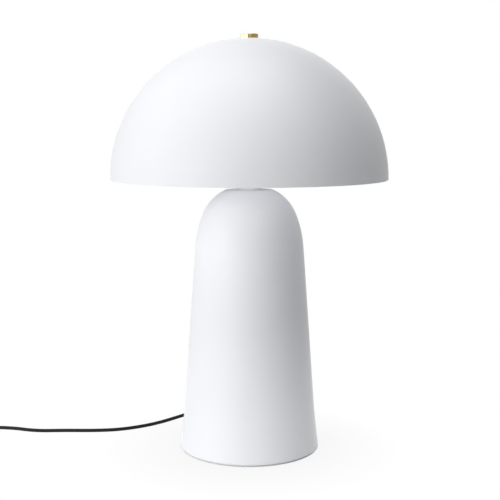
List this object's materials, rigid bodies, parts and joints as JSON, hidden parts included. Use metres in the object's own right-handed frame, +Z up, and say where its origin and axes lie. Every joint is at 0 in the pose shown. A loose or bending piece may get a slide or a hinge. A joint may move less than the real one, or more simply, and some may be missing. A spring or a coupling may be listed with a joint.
{
  "type": "table lamp",
  "caption": "Mushroom table lamp: domed metal shade held by a brass knob over a tapered, weighted base, with a harp, screw lampholder, bulb and switched cord.",
  "frame": {"origin": "middle of the foot, on the surface that the lamp stands on", "axes": "+Z up along the lamp's axis, -Y towards the viewer, +Y to the back where the cord leaves, +X to the viewer's right"},
  "size_m": [0.577, 0.3114, 0.4541],
  "materials": {
    "white_coat": "satin powder coat",
    "iron": "as cast",
    "steel": "zinc plated",
    "brass": "brushed",
    "felt": "felt",
    "fibre": "matt",
    "relief_rubber": "matt",
    "cord_rubber": "matt",
    "lead_sleeve": "matt",
    "holder_plastic": "matt",
    "holder_ceramic": "glazed",
    "bulb_glass": "vitrified",
    "bulb_metal": "plated",
    "bulb_plastic": "semi-gloss",
    "board": "coated",
    "opal": "opal",
    "switch_plastic": "matt",
    "tie_plastic": "matt",
    "plug_plastic": "matt",
    "pin_metal": "nickel plated"
  },
  "bodies": {
    "stand": {"base_shell": "white_coat", "neck_collar": "white_coat", "ballast": "iron", "bottom_cover": "steel", "cover_screws": "steel", "nipple_nut": "steel", "nipple_washer": "steel", "harp_saddle": "steel", "harp_ferrules": "steel", "harp_loop": "steel", "terminal_screws": "steel", "switch_pin": "steel", "switch_screws": "steel", "harp_spigot": "brass", "nipple": "brass", "screw_shell": "brass", "centre_contact": "brass", "switch_contacts": "brass", "foot_pad": "felt", "cord_bushing": "relief_rubber", "inner_cord": "cord_rubber", "cord_run": "cord_rubber", "cord_link": "cord_rubber", "cord_coil": "cord_rubber", "cord_tail": "cord_rubber", "lead_wires": "lead_sleeve", "holder_cap": "holder_plastic", "holder_skirt": "holder_plastic", "holder_core": "holder_ceramic", "switch_base": "switch_plastic", "switch_cover": "switch_plastic", "coil_tie": "tie_plastic", "plug_body": "plug_plastic", "plug_pins": "pin_metal"},
    "washer_under_shade": {"spigot_washer": "fibre"},
    "shade": {"shade": "white_coat", "shade_bush": "brass"},
    "washer_under_knob": {"knob_washer": "fibre"},
    "knob": {"knob": "brass"},
    "bulb_tip": {"bulb_contact": "brass"},
    "bulb": {"bulb_insulator": "bulb_glass", "bulb_cap": "bulb_metal", "bulb_collar": "bulb_plastic", "led_board": "board", "bulb_globe": "opal"},
    "rocker": {"switch_rocker": "switch_plastic"}
  },
  "joints": [
    {"name": "shade_turn", "type": "hinge", "parent": "stand", "child": "washer_under_shade", "pos_m": [0, 0, 0.43175], "axis": [0, 0, 1], "continuous": true},
    {"name": "shade_lift", "type": "slide", "parent": "washer_under_shade", "child": "shade", "axis": [0, 0, 1], "range_m": [0, 0.16]},
    {"name": "knob_rise", "type": "slide", "parent": "shade", "child": "washer_under_knob", "axis": [0, 0, 1], "range_m": [0, 0.00501]},
    {"name": "knob_turn", "type": "hinge", "parent": "washer_under_knob", "child": "knob", "pos_m": [0, 0, 0.4515], "axis": [0, 0, 1], "range_deg": [0, 1800]},
    {"name": "bulb_rise", "type": "slide", "parent": "stand", "child": "bulb_tip", "axis": [0, 0, 1], "range_m": [0, 0.01453]},
    {"name": "bulb_turn", "type": "hinge", "parent": "bulb_tip", "child": "bulb", "pos_m": [0, 0, 0.345], "axis": [0, 0, 1], "range_deg": [0, 1440]},
    {"name": "switch_rock", "type": "hinge", "parent": "stand", "child": "rocker", "pos_m": [-0.333, 0.046, 0.0105], "axis": [0, -1, 0], "range_deg": [0, 18]}
  ],
  "couplings": [
    {"joint": "knob_rise", "follows": "knob_turn", "m_per_rad": 0.00015915},
    {"joint": "bulb_rise", "follows": "bulb_turn", "m_per_rad": 0.00057757}
  ]
}
